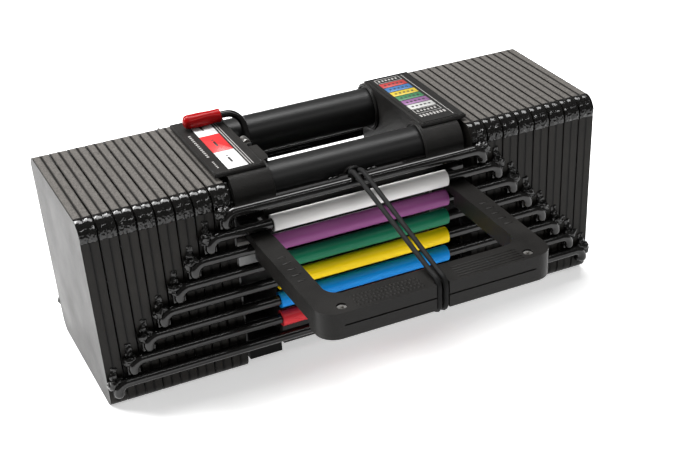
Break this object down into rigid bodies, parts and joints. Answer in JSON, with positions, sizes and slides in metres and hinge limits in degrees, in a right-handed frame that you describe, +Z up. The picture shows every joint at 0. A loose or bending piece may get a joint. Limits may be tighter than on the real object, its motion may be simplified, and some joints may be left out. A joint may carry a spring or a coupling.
{
  "type": "adjustable dumbbell",
  "caption": "Block dumbbell of nested steel plate weights with coloured rails, a caged handle, a U-shaped selector pin on a tether and a swinging lever.",
  "frame": {"origin": "centre of the bottom of the whole outline, on the floor that the weights and feet rest on, with the pin as far out as at rest", "axes": "+X along the dumbbell towards the cover with the weight chart, -Y towards the selector pin, +Z up"},
  "size_m": [0.42, 0.2775, 0.1711],
  "materials": {
    "plates": "black textured powder coat, glossier on the front edges",
    "rails": "gloss black paint over round steel bar",
    "white": "plain white vinyl sleeve",
    "purple": "purple vinyl sleeve",
    "green": "green vinyl sleeve",
    "yellow": "yellow vinyl sleeve",
    "blue": "blue vinyl sleeve",
    "red": "red vinyl sleeve",
    "frame": "black painted sheet steel",
    "tubes": "satin black rubbery skin",
    "steel": "bare steel",
    "grip": "matte black moulded grip",
    "cover": "dark grey moulded plastic",
    "feet": "black rubber",
    "label": "printed label",
    "lever_wire": "gloss black wire",
    "lever_cap": "red soft vinyl cap",
    "pin": "dark grey moulded plastic with a fine texture",
    "cord": "black elastic cord with a woven skin"
  },
  "bodies": {
    "weight_8": {"left_plates_8": "plates", "right_plates_8": "plates", "front_rail_8": "rails", "rear_rail_8": "rails"},
    "weight_7": {"left_plates_7": "plates", "right_plates_7": "plates", "front_rail_7": "rails", "rear_rail_7": "rails", "red_sleeve": "red"},
    "weight_6": {"left_plates_6": "plates", "right_plates_6": "plates", "front_rail_6": "rails", "rear_rail_6": "rails", "blue_sleeve": "blue"},
    "weight_5": {"left_plates_5": "plates", "right_plates_5": "plates", "front_rail_5": "rails", "rear_rail_5": "rails", "yellow_sleeve": "yellow"},
    "weight_4": {"left_plates_4": "plates", "right_plates_4": "plates", "front_rail_4": "rails", "rear_rail_4": "rails", "green_sleeve": "green"},
    "weight_3": {"left_plates_3": "plates", "right_plates_3": "plates", "front_rail_3": "rails", "rear_rail_3": "rails", "purple_sleeve": "purple"},
    "weight_2": {"left_plates_2": "plates", "right_plates_2": "plates", "front_rail_2": "rails", "rear_rail_2": "rails", "white_sleeve": "white"},
    "weight_1": {"left_plates_1": "plates", "right_plates_1": "plates", "front_rail_1": "rails", "rear_rail_1": "rails"},
    "core": {"left_end_frame": "frame", "right_end_frame": "frame", "front_tube": "tubes", "rear_tube": "tubes", "adder_weights": "steel", "grip_bar": "steel", "hand_grip": "grip", "left_cover": "cover", "right_cover": "cover", "front_cross_plate": "frame", "rear_cross_plate": "frame", "feet": "feet", "bottom_pan": "frame", "left_label": "label", "right_label": "label", "lever_bracket": "steel"},
    "lever": {"lever_rod": "lever_wire", "lever_cap": "lever_cap"},
    "pin": {"pin_handle": "pin", "pin_prongs": "pin", "pin_screws": "steel", "tether_cord": "cord"}
  },
  "joints": [
    {"name": "lift_7", "type": "slide", "parent": "weight_8", "child": "weight_7", "axis": [0, 0, 1], "range_m": [0, 0.17]},
    {"name": "lift_6", "type": "slide", "parent": "weight_7", "child": "weight_6", "axis": [0, 0, 1], "range_m": [0, 0.17]},
    {"name": "lift_5", "type": "slide", "parent": "weight_6", "child": "weight_5", "axis": [0, 0, 1], "range_m": [0, 0.17]},
    {"name": "lift_4", "type": "slide", "parent": "weight_5", "child": "weight_4", "axis": [0, 0, 1], "range_m": [0, 0.17]},
    {"name": "lift_3", "type": "slide", "parent": "weight_4", "child": "weight_3", "axis": [0, 0, 1], "range_m": [0, 0.17]},
    {"name": "core_lift", "type": "slide", "parent": "weight_3", "child": "core", "axis": [0, 0, 1], "range_m": [0, 0.17]},
    {"name": "float_2", "type": "slide", "parent": "core", "child": "weight_2", "axis": [0, 0, 1], "range_m": [0, 0.0006]},
    {"name": "float_1", "type": "slide", "parent": "weight_2", "child": "weight_1", "axis": [0, 0, 1], "range_m": [0, 0.0006]},
    {"name": "pin_slide", "type": "slide", "parent": "core", "child": "pin", "axis": [0, -1, 0], "range_m": [-0.007, 0.155], "deforming": ["tether_cord"]},
    {"name": "lever_swing", "type": "hinge", "parent": "core", "child": "lever", "pos_m": [-0.068, 0.06325, 0.105], "axis": [1, 0, 0], "range_deg": [0, 59]}
  ]
}
